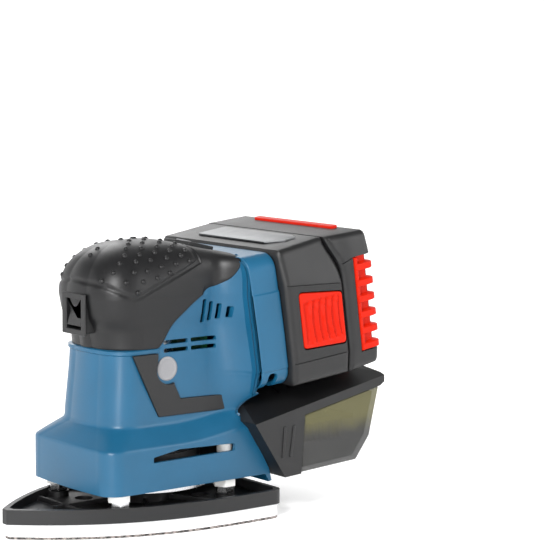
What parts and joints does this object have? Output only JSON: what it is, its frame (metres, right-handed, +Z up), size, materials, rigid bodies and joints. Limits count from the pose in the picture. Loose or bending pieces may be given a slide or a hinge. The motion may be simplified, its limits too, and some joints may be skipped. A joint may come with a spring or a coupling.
{
  "type": "detail sander",
  "caption": "Cordless palm-grip delta sander: a triangular orbital plate under a skirted housing, soft grip, slide-on battery pack and clear dust box.",
  "frame": {"origin": "on the sanding face, where the motor's axis meets it", "axes": "-X towards the tip of the delta plate, +X towards the battery, +Z up, -Y the tool's left side"},
  "size_m": [0.221, 0.1183, 0.1586],
  "materials": {
    "housing_blue": "fine moulded texture",
    "grip_rubber": "soft touch",
    "black_plastic": "fine moulded texture",
    "inner_plastic": "moulded",
    "rocker_plastic": "satin",
    "button_grey": "satin",
    "lens": "clear",
    "board_green": "solder mask",
    "electronics": "moulded",
    "contact_brass": "polished",
    "steel": "machined",
    "screw_steel": "plated",
    "copper": "enamelled wire",
    "weight_brass": "machined",
    "cast_alloy": "die cast",
    "post_white": "natural",
    "pad_white": "closed-cell foam",
    "abrasive": "grit on paper",
    "pack_red": "satin",
    "label_silver": "brushed foil",
    "cell_wrap": "wrapped steel can",
    "smoke_clear": "clear moulded",
    "filter_felt": "pleated paper"
  },
  "bodies": {
    "housing": {"housing_left": "housing_blue", "housing_right": "housing_blue", "housing_screws": "screw_steel", "soft_grip": "grip_rubber", "bumper_left": "black_plastic", "bumper_right": "black_plastic", "switch_frame": "black_plastic", "switch_module": "inner_plastic", "control_panel": "black_plastic", "led_window": "lens", "control_board": "board_green", "board_parts": "electronics", "dock_left": "housing_blue", "dock_right": "housing_blue", "dock_rail": "black_plastic", "dock_contacts": "contact_brass", "motor_can": "steel", "stator_coils": "copper", "motor_end_cap": "inner_plastic", "bearing_plate": "cast_alloy", "lower_bearing_outer": "steel", "upper_bearing_outer": "steel", "fan_housing": "inner_plastic", "base_ring": "steel", "flex_posts": "post_white"},
    "rotor": {"motor_shaft": "steel", "rotor_core": "steel", "counterweight": "weight_brass", "fan": "inner_plastic", "lower_bearing_inner": "steel", "upper_bearing_inner": "steel", "plate_bearing_inner": "steel"},
    "plate": {"sanding_plate": "black_plastic", "foam_pad": "pad_white", "sanding_sheet": "abrasive", "plate_screws": "screw_steel", "post_nuts": "screw_steel", "plate_bearing_outer": "steel"},
    "rocker": {"switch_rocker": "rocker_plastic"},
    "speed_key": {"speed_button": "button_grey"},
    "battery": {"pack_case_top": "black_plastic", "pack_case_base": "black_plastic", "pack_bumper_ends": "pack_red", "pack_bumper_sides": "pack_red", "pack_labels": "label_silver", "pack_cells": "cell_wrap", "cell_holder": "inner_plastic", "pack_board": "board_green", "pack_terminals": "inner_plastic", "pack_screws": "screw_steel", "release_spring": "steel"},
    "battery_button": {"release_button": "pack_red"},
    "battery_latch": {"release_latch": "inner_plastic"},
    "dust_box": {"dust_box_frame": "black_plastic", "filter_frame": "black_plastic", "filter_paper": "filter_felt"},
    "dust_tub": {"dust_box_tub": "smoke_clear"}
  },
  "joints": [
    {"name": "rotor_spin", "type": "hinge", "parent": "housing", "child": "rotor", "pos_m": [0, 0, 0.08], "axis": [0, 0, 1], "continuous": true},
    {"name": "plate_orbit", "type": "hinge", "parent": "rotor", "child": "plate", "pos_m": [0.0008, 0, 0.016], "axis": [0, 0, 1], "continuous": true, "deforming": ["flex_posts"]},
    {"name": "rocker_tilt", "type": "hinge", "parent": "housing", "child": "rocker", "pos_m": [-0.037, 0, 0.116], "axis": [0, -1, 0], "range_deg": [0, 12]},
    {"name": "speed_press", "type": "slide", "parent": "housing", "child": "speed_key", "axis": [-0.2316, 0, -0.9728], "range_m": [0, 0.0008], "stiffness_N_per_m": 1500},
    {"name": "battery_slide", "type": "slide", "parent": "housing", "child": "battery", "axis": [0, -1, 0], "range_m": [0, 0.1]},
    {"name": "button_press", "type": "slide", "parent": "battery", "child": "battery_button", "axis": [0, 1, 0], "range_m": [0, 0.003], "stiffness_N_per_m": 2500, "deforming": ["release_spring"]},
    {"name": "latch_draw", "type": "slide", "parent": "battery", "child": "battery_latch", "axis": [0.9903, 0, 0.1392], "range_m": [0, 0.0036]},
    {"name": "dust_box_slide", "type": "slide", "parent": "housing", "child": "dust_box", "axis": [1, 0, 0], "range_m": [0, 0.08]},
    {"name": "tub_slide", "type": "slide", "parent": "dust_box", "child": "dust_tub", "axis": [1, 0, 0], "range_m": [0, 0.06]}
  ],
  "couplings": [
    {"joint": "plate_orbit", "follows": "rotor_spin", "ratio": -1},
    {"joint": "latch_draw", "follows": "button_press", "ratio": 1.2}
  ]
}
